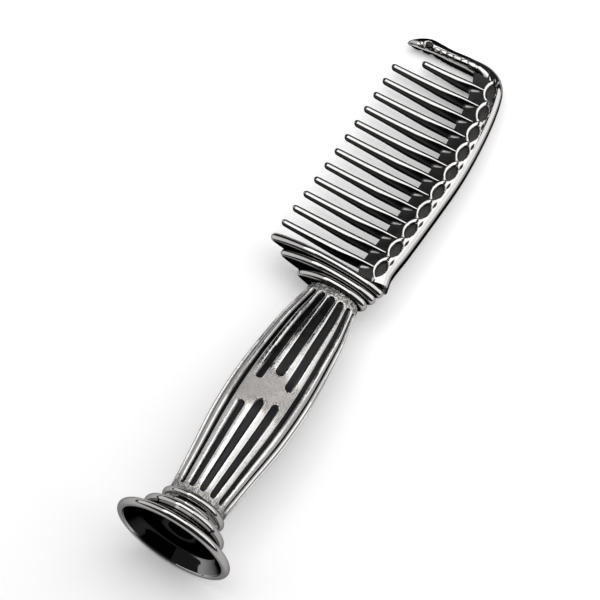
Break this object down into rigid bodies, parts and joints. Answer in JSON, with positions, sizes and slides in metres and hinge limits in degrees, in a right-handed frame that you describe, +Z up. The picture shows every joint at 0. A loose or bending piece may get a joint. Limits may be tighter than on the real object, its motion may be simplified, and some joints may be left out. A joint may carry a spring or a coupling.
{
  "type": "column-handled hair comb",
  "caption": "Hair comb with a fluted column handle on a bell foot, a stepped capital, a bowed spine with a chain of lens cells, tapering teeth and an end guard, clamped by one rod.",
  "frame": {"origin": "bottom centre of the box round the comb as it lies on its side", "axes": "+X from the foot to the head's far end, +Y across the comb towards the tooth tips, +Z up; the comb's own axis is tipped by 4.8 degrees because it lies on the foot's lip and the guard"},
  "size_m": [0.1872, 0.0453, 0.0371],
  "materials": {
    "gunmetal": "polished",
    "steel": "satin",
    "inlay": "gloss"
  },
  "bodies": {
    "root": {"comb_head": "gunmetal", "capital_plate_middle": "gunmetal", "capital_plate_small": "gunmetal", "handle_column": "gunmetal", "collar_ring": "gunmetal", "lower_ring": "gunmetal", "bell_foot": "gunmetal", "chain_inlay_front_01": "inlay", "chain_inlay_front_02": "inlay", "chain_inlay_front_03": "inlay", "chain_inlay_front_04": "inlay", "chain_inlay_front_05": "inlay", "chain_inlay_front_06": "inlay", "chain_inlay_front_07": "inlay", "chain_inlay_front_08": "inlay", "chain_inlay_front_09": "inlay", "chain_inlay_front_10": "inlay", "chain_inlay_back_01": "inlay", "chain_inlay_back_02": "inlay", "chain_inlay_back_03": "inlay", "chain_inlay_back_04": "inlay", "chain_inlay_back_05": "inlay", "chain_inlay_back_06": "inlay", "chain_inlay_back_07": "inlay", "chain_inlay_back_08": "inlay", "chain_inlay_back_09": "inlay", "chain_inlay_back_10": "inlay", "eye_inlay_front": "inlay", "eye_inlay_back": "inlay", "tie_rod": "steel", "clamp_washer": "steel", "clamp_nut": "steel"}
  },
  "joints": []
}
